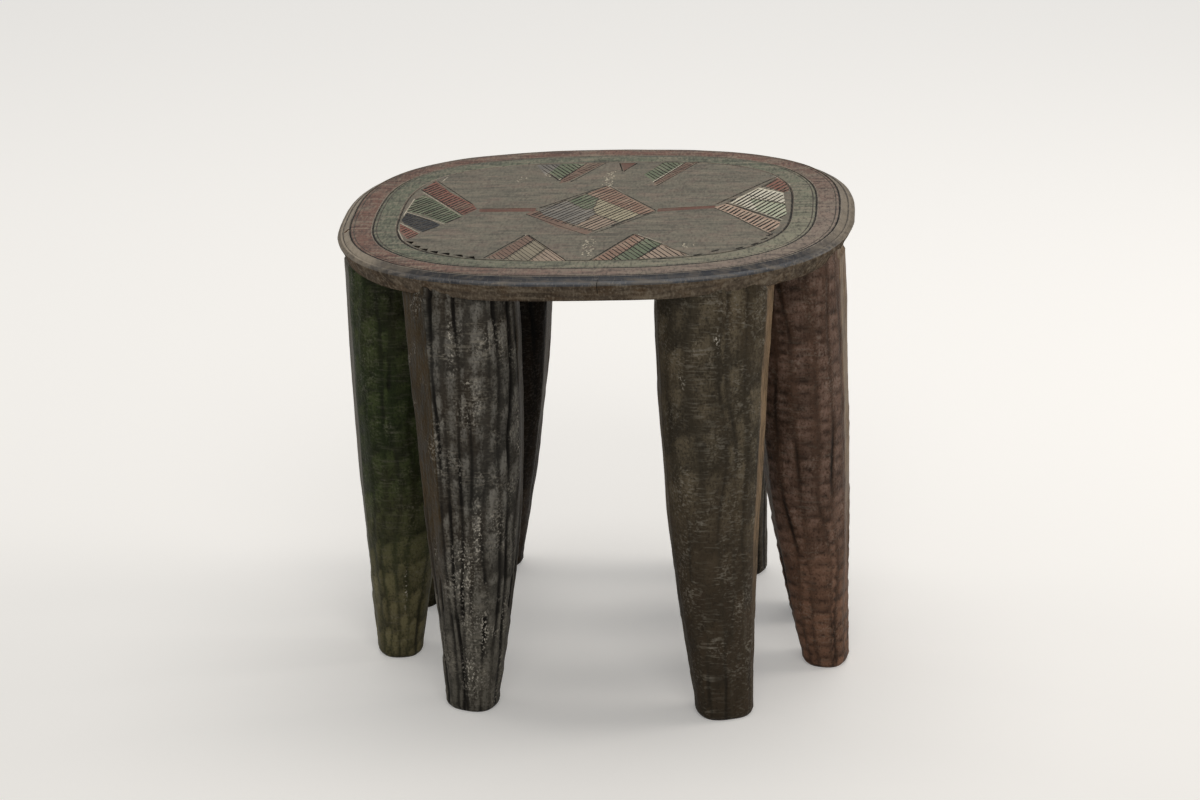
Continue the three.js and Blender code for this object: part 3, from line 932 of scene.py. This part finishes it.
def adzed_leg(node, seed, planes, ribs, stroke, chipped, creased, flecks):
    # One leg, pushed out to its CAD solid, planed at the sides, ribbed, and marked for its paint
    rng = np.random.default_rng(seed)
    tree, head, foot, shoulder = leg_measure(node)
    bpy.ops.object.select_all(action="DESELECT")
    bpy.ops.mesh.primitive_cylinder_add(vertices=LEG_SIDES, radius=1, depth=1, end_fill_type="NGON")
    leg = bpy.context.object
    leg.name = node + "_adzed"
    mesh = leg.data
    bpy.ops.object.mode_set(mode="EDIT")
    bpy.ops.mesh.select_mode(type="EDGE")
    bpy.ops.mesh.select_all(action="DESELECT")
    bpy.ops.object.mode_set(mode="OBJECT")
    for edge in mesh.edges:
        first, second = (mesh.vertices[v].co.z for v in edge.vertices)
        edge.select = abs(first - second) > 0.5
    bpy.ops.object.mode_set(mode="EDIT")
    bpy.ops.mesh.subdivide(number_cuts=LEG_RINGS - 1)
    bpy.ops.object.mode_set(mode="OBJECT")

    # The first rings stand inside the top; towards the floor they stand closer together
    steps = np.linspace(0, 1, LEG_RINGS + 1)
    shares = np.where(steps < 0.04, 0, (steps - 0.04) / 0.96)
    shares = 1 - (1 - shares) ** 1.12
    turns = np.arange(LEG_SIDES) / LEG_SIDES * 2 * math.pi
    coarse = np.linspace(0, 0.955, 56)
    probe_shares = np.concatenate([coarse, np.linspace(0.96, 1, 24)])
    smooth = softened(leg_radii(tree, head, foot, shoulder, probe_shares, turns), LEG_SIDES // 44)
    radii = np.array([np.interp(shares, probe_shares, smooth[:, j]) for j in range(LEG_SIDES)]).T
    centres = head + (foot - head) * shares[:, None]
    length = abs(head[2] - foot[2])
    # The foot is sawn off almost square, with a narrow worn edge
    above = (1 - shares) * length
    knee = radii[np.searchsorted(-above, -FOOT_SAWN)]
    worn = FOOT_CHAMFER * np.clip(1 - above / 5, 0, 1) ** 1.8
    in_foot = above[:, None] < FOOT_SAWN
    squarer = knee[None, :] - worn[:, None] - in_foot * 0.05 * (FOOT_SAWN - above[:, None])
    radii = np.where(in_foot, np.maximum(radii, squarer), radii)

    plain = radii.copy()
    share_grid = np.repeat(shares[:, None], LEG_SIDES, 1)
    turn_grid = np.repeat(turns[None, :], LEG_RINGS + 1, 0)
    bare = np.zeros_like(radii)
    for facing, cut, unpainted in planes:
        # The corners beside a plane stand out, so that the leg keeps its width there
        fade = cut * np.clip((FACET_END - share_grid) / 0.4, 0, 1) ** 0.5
        waver = patchy(share_grid * 5, turn_grid * 0 + facing, seed) * 0.4 * (fade > 0)
        turned = (turn_grid - math.radians(facing) + math.pi) % (2 * math.pi) - math.pi
        radii = radii + fade * np.exp(-((turned / 0.55) ** 2))
        plane = side_plane(plain, turns[None, :], math.radians(facing), 0.2 + waver)
        on_plane = np.clip((radii - plane) / 0.5, 0, 1) * (fade > 0.2)
        bare = np.maximum(bare, on_plane * unpainted * np.clip((FACET_END - share_grid) / 0.3, 0, 1))
        radii = np.minimum(radii, plane)

    # Ribs, parted by creases that wander and come and go, each cut in short overlapping strokes
    widths = rng.uniform(0.72, 1.3, ribs)
    starts = np.concatenate([[0], np.cumsum(widths)[:-1]]) / widths.sum()
    stroke_lengths = stroke * rng.uniform(0.75, 1.35, ribs)
    stroke_starts = rng.uniform(0, 1, ribs)
    chip_depths = rng.uniform(-0.5, 0.5, (ribs, 80))
    crease_depths = rng.uniform(0.35, 1.0, ribs)
    carved, crease_shade, tone, ridge_wear_and_highlight = (np.zeros_like(radii) for _ in range(4))
    spot = turns / (2 * math.pi)
    for i, share in enumerate(shares):
        wander = patchy(np.arange(ribs) * 1.37, np.full(ribs, share * 5.5), seed + 1) * 0.42 / ribs
        edges = np.sort((starts + wander) % 1)
        number = (np.searchsorted(edges, spot, side="right") - 1) % ribs
        left, right = edges[number], edges[(number + 1) % ribs]
        span = (right - left) % 1
        across = ((spot - left) % 1) / span
        radius = radii[i].mean()
        wide = span * 2 * math.pi * radius
        bow = 1 - (2 * across - 1) ** 2
        along = share * length / stroke_lengths[number] + stroke_starts[number] + across * 0.25
        cell = np.floor(along).astype(int)
        pull = along - cell
        chip = np.where(pull < 0.86, pull / 0.86, (1 - pull) / 0.14) ** 1.4
        depth = chip_depths[number, cell % 80]
        nearer = np.minimum(across, 1 - across)
        beside = np.where(across < 0.5, number, (number + 1) % ribs)
        come_and_go = patchy(beside * 2.3, np.full(LEG_SIDES, share * 6.5), seed + 3)
        strength = crease_depths[beside] * np.clip(0.72 + 0.75 * come_and_go, 0.05, 1.3)
        line = np.exp(-((nearer * wide / 1.7) ** 2)) * strength * creased
        fade = min((1 - share) / 0.05, 1)
        flat = 0.5 * bow * wide**2 / (8 * radius)
        carved[i] = (flat + bow * (0.45 * chip + 0.4 * depth) * chipped + 1.8 * line) * fade
        # Painted shade for the paint: darker in the creases and in the hollow of each adze stroke
        crease_shade[i] = np.clip(line * 1.2 + 0.32 * chip * bow * chipped, 0, 1)
        tone[i] = depth + 0.5
        # Rubbed wear and a painted highlight for the paint: lighter on the rib crests, less in the stroke
        # hollows
        ridge_wear_and_highlight[i] = bow * (1 - chip * 0.6)
    calm = 1 - 0.85 * bare
    uneven = patchy(turn_grid * 3.2, share_grid * length / 38, seed + 4) * 0.6
    uneven *= np.clip(share_grid / 0.05, 0.2, 1) * np.clip((1 - share_grid) / 0.08, 0, 1)
    rough = patchy(turn_grid * 22, share_grid * length / 4.5, seed + 5) * 0.1
    rough += patchy(turn_grid * 40, share_grid * length / 2.4, seed + 6) * 0.06
    radii = radii - carved * calm + 0.3 + uneven + rough * (0.4 + 0.6 * calm)
    raised = np.clip((0.04 - steps) / 0.04, 0, 1)[:, None]
    radii -= HEAD_TUCK * np.minimum(raised * 8, 1)

    x = centres[:, :1] + radii * np.cos(turn_grid)
    y = centres[:, 1:2] + radii * np.sin(turn_grid)
    z = shoulder + (floor_level(x) - shoulder) * share_grid + (HEAD_LEVEL - shoulder) * raised
    marks = np.zeros_like(radii)
    for share, turn, tall, wide in flecks:
        around = (turn_grid - math.radians(turn) + math.pi) % (2 * math.pi) - math.pi
        apart = ((share_grid - share) * length / tall) ** 2 + (around * radii / wide) ** 2
        marks = np.maximum(marks, np.exp(-apart))

    # The cylinder's own corners are matched to rings and turns by where they stand
    points = read_points(mesh)
    ring = np.rint((0.5 - points[:, 2]) * LEG_RINGS).astype(int)
    side = np.rint(np.arctan2(points[:, 1], points[:, 0]) / (2 * math.pi) * LEG_SIDES).astype(int) % LEG_SIDES
    write_points(mesh, np.stack([x[ring, side], y[ring, side], z[ring, side]], 1))
    painted = {"crease_shade": crease_shade * calm, "ridge_wear_and_highlight": ridge_wear_and_highlight * calm, "bare": bare, "drop": share_grid, "tone": tone}
    for name, values in {**painted, "marks": marks}.items():
        layer = mesh.attributes.new(name, "FLOAT", "POINT")
        layer.data.foreach_set("value", values[ring, side].astype(np.float32))
    mesh.transform(out_of_top)
    bpy.ops.object.shade_smooth_by_angle(angle=math.radians(RIB_ANGLE))
    return leg


def attribute(tree, name):
    node = tree.nodes.new("ShaderNodeAttribute")
    node.attribute_name = name
    return node.outputs["Fac"]


def leg_paint(name, paint, worn, tint, bare_wood, foot, foot_from, flaked, wear, scratched):
    # Thin dark paint on adzed wood, rubbed on the ribs, scratched all over, with pale pecks where
    # it has flaked, and bare brown wood on the side planes. Painted shade darkens the creases and
    # chip hollows, and a painted highlight adds to the wear on the rib crests
    material, tree, shader = new_material(name)
    shader.inputs["Specular IOR Level"].default_value = LEG_SHINE
    patches = noise_on(tree, 55, stretch=(1, 1, 0.6), detail=3.0)
    clouds = noise_on(tree, 13, stretch=(1, 1, 0.6), detail=3.0)
    grain = noise_on(tree, 330, stretch=(1, 1, 0.22), detail=2.0)
    fine = noise_on(tree, 560, stretch=(1, 1, 0.8), detail=2.0, roughness=0.6)
    scratches = [
        noise_on(tree, 480, stretch=(0.1, 1, 1), detail=1.0, lean=0.08),
        noise_on(tree, 430, stretch=(0.1, 1, 1), detail=1.0, lean=0.75),
        noise_on(tree, 450, stretch=(0.12, 1, 1), detail=1.0, lean=-0.95),
    ]
    crease_shade, ridge_wear_and_highlight, bare = attribute(tree, "crease_shade"), attribute(tree, "ridge_wear_and_highlight"), attribute(tree, "bare")
    drop, tone, marks = attribute(tree, "drop"), attribute(tree, "tone"), attribute(tree, "marks")
    rub = maths(tree, "ADD", maths(tree, "MULTIPLY", patches, 0.14), maths(tree, "MULTIPLY", grain, 0.3))
    rub = maths(tree, "ADD", rub, maths(tree, "MULTIPLY", fine, 0.3))
    # The rib crests come out rubbed lighter: wear, and partly a painted highlight
    rub = maths(tree, "ADD", rub, maths(tree, "MULTIPLY", ridge_wear_and_highlight, 0.24))
    rub = maths(tree, "ADD", rub, maths(tree, "MULTIPLY", tone, 0.06))
    colour = mixed(tree, stepped(tree, clouds, 0.42, 0.62), paint, tint)
    colour = mixed(tree, stepped(tree, rub, 0.46, 0.7, 0.0, wear), colour, worn)
    in_foot = stepped(tree, drop, foot_from, foot_from + 0.38)
    foot_rub = maths(tree, "MULTIPLY", in_foot, stepped(tree, rub, 0.4, 0.62, 0.35, 0.85))
    colour = mixed(tree, foot_rub, colour, foot)
    brown = mixed(tree, stepped(tree, grain, 0.42, 0.62, 0.0, 0.6), bare_wood, paint)
    colour = mixed(tree, maths(tree, "MULTIPLY", bare, 0.92), colour, brown)
    for lines in scratches:
        where = stepped(tree, patches, 0.4, 0.62, 0.1, scratched)
        seen = maths(tree, "MULTIPLY", stepped(tree, lines, 0.6, 0.68), where)
        seen = maths(tree, "MULTIPLY", seen, maths(tree, "SUBTRACT", 1.0, bare))
        colour = mixed(tree, seen, colour, SCRATCH_PALE)
    colour = mixed(tree, stepped(tree, tone, 0.0, 1.0, 0.27, 0.0), colour, DEEP_DIRT_AND_SHADE)
    # Painted shade: the creases and adze-chip hollows are darkened as if in shadow
    colour = mixed(tree, stepped(tree, crease_shade, 0.08, 0.9, 0.0, 0.9), colour, DEEP_DIRT_AND_SHADE)
    colour = mixed(tree, stepped(tree, fine, 0.34, 0.47, 0.3, 0.0), colour, DEEP_DIRT_AND_SHADE)
    loose = stepped(tree, patches, 0.5, 0.68, 0.0, flaked)
    loose = maths(tree, "ADD", loose, maths(tree, "MULTIPLY", marks, 1.1))
    flakes = maths(tree, "MULTIPLY", stepped(tree, fine, 0.55, 0.62), maths(tree, "MINIMUM", loose, 1.0))
    colour = mixed(tree, flakes, colour, FLAKE_PALE)
    link(tree, colour, shader.inputs["Base Color"])
    link(tree, stepped(tree, rub, 0.4, 0.7, 0.4, 0.6), shader.inputs["Roughness"])
    height = maths(tree, "ADD", maths(tree, "MULTIPLY", grain, 0.5), maths(tree, "MULTIPLY", fine, 0.5))
    bumped(tree, shader, height, 0.001)
    return material


# Each leg: side planes (facing in degrees, how far the corners stand out, how bare of paint),
# ribs, length of a stroke, how deep strokes and creases are (and so how dark their painted shade),
# flaked spots (share of the way down, turn, height, width); then its paint, where worn, its second
# tint, bare wood, the foot and how far down it starts, how flaked, worn and scratched it is
LEGS = {
    "leg_front_left": (
        ([(-140, 4.4, 1.0), (-4, 1.6, 0.6)], 23, 27, 1.1, 1.05, [
            (0.09, -97, 16, 1.6), (0.19, -79, 4, 3), (0.165, -95, 4, 2.4), (0.65, -92, 24, 7),
            (0.9, -85, 17, 6), (0.3, -16, 9, 2), (0.36, -15, 5, 2), (0.43, -16, 5, 2),
            (0.55, -70, 25, 3), (0.8, -60, 20, 2.4),
        ]),
        ("45433e", "85827b", "433c33", "3f2e0a", "68645b", 0.5, 0.4, 0.85, 0.5),
    ),
    "leg_front_right": (
        ([(-11, 3.0, 1.0), (190, 1.6, 0.3), (-67, 1.6, 0.0)], 15, 30, 1.0, 0.45, [
            (0.1, -85, 7, 2), (0.19, -124, 5, 2),
        ]),
        ("4f4536", "766b58", "443d31", "a1876a", "3e3327", 0.34, 0.14, 0.65, 0.42),
    ),
    "leg_left_front": (
        ([(-165, 2.4, 1.0), (-20, 1.6, 0.5)], 18, 22, 1.5, 0.6, [(0.8, -72, 16, 1.2)]),
        ("2b361a", "4f5836", "32341f", "4d4130", "7d7556", 0.5, 0.1, 0.6, 0.14),
    ),
    "leg_right_front": (
        ([(-8, 2.4, 1.0), (200, 1.6, 0.4)], 17, 11, 1.9, 0.8, []),
        ("5f483b", "8b7266", "533f33", "8a765c", "86634f", 0.5, 0.12, 0.65, 0.14),
    ),
    "leg_right_rear": (
        ([(12, 2.4, 1.0), (160, 1.6, 1.0)], 18, 24, 1.0, 0.9, []),
        ("261c13", "493c2f", "2b2016", "5c4a35", "4f4032", 0.5, 0.2, 0.5, 0.15),
    ),
    "leg_rear_right": (
        ([(8, 2.4, 1.0), (172, 1.6, 1.0)], 18, 26, 1.0, 0.9, []),
        ("26211a", "4b4336", "22231a", "5c4a35", "4b4336", 0.5, 0.3, 0.6, 0.25),
    ),
    "leg_rear_left": (
        ([(-8, 2.6, 1.0), (176, 1.6, 1.0)], 18, 24, 1.0, 0.9, []),
        ("1a130c", "33281d", "1e160e", "4e3b1c", "3b3024", 0.5, 0.05, 0.5, 0.1),
    ),
    "leg_left_rear": (
        ([(168, 2.4, 1.0), (20, 1.6, 1.0)], 18, 24, 1.0, 0.9, []),
        ("1b230f", "3b3f26", "201f13", "443a29", "56503a", 0.5, 0.2, 0.5, 0.14),
    ),
}
for seed, (node, (cutting, colours)) in enumerate(LEGS.items(), start=21):
    leg = adzed_leg(node, seed, *cutting)
    leg.data.materials.append(leg_paint(node + "_paint", *colours))
    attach(leg, "root")
    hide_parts(node)
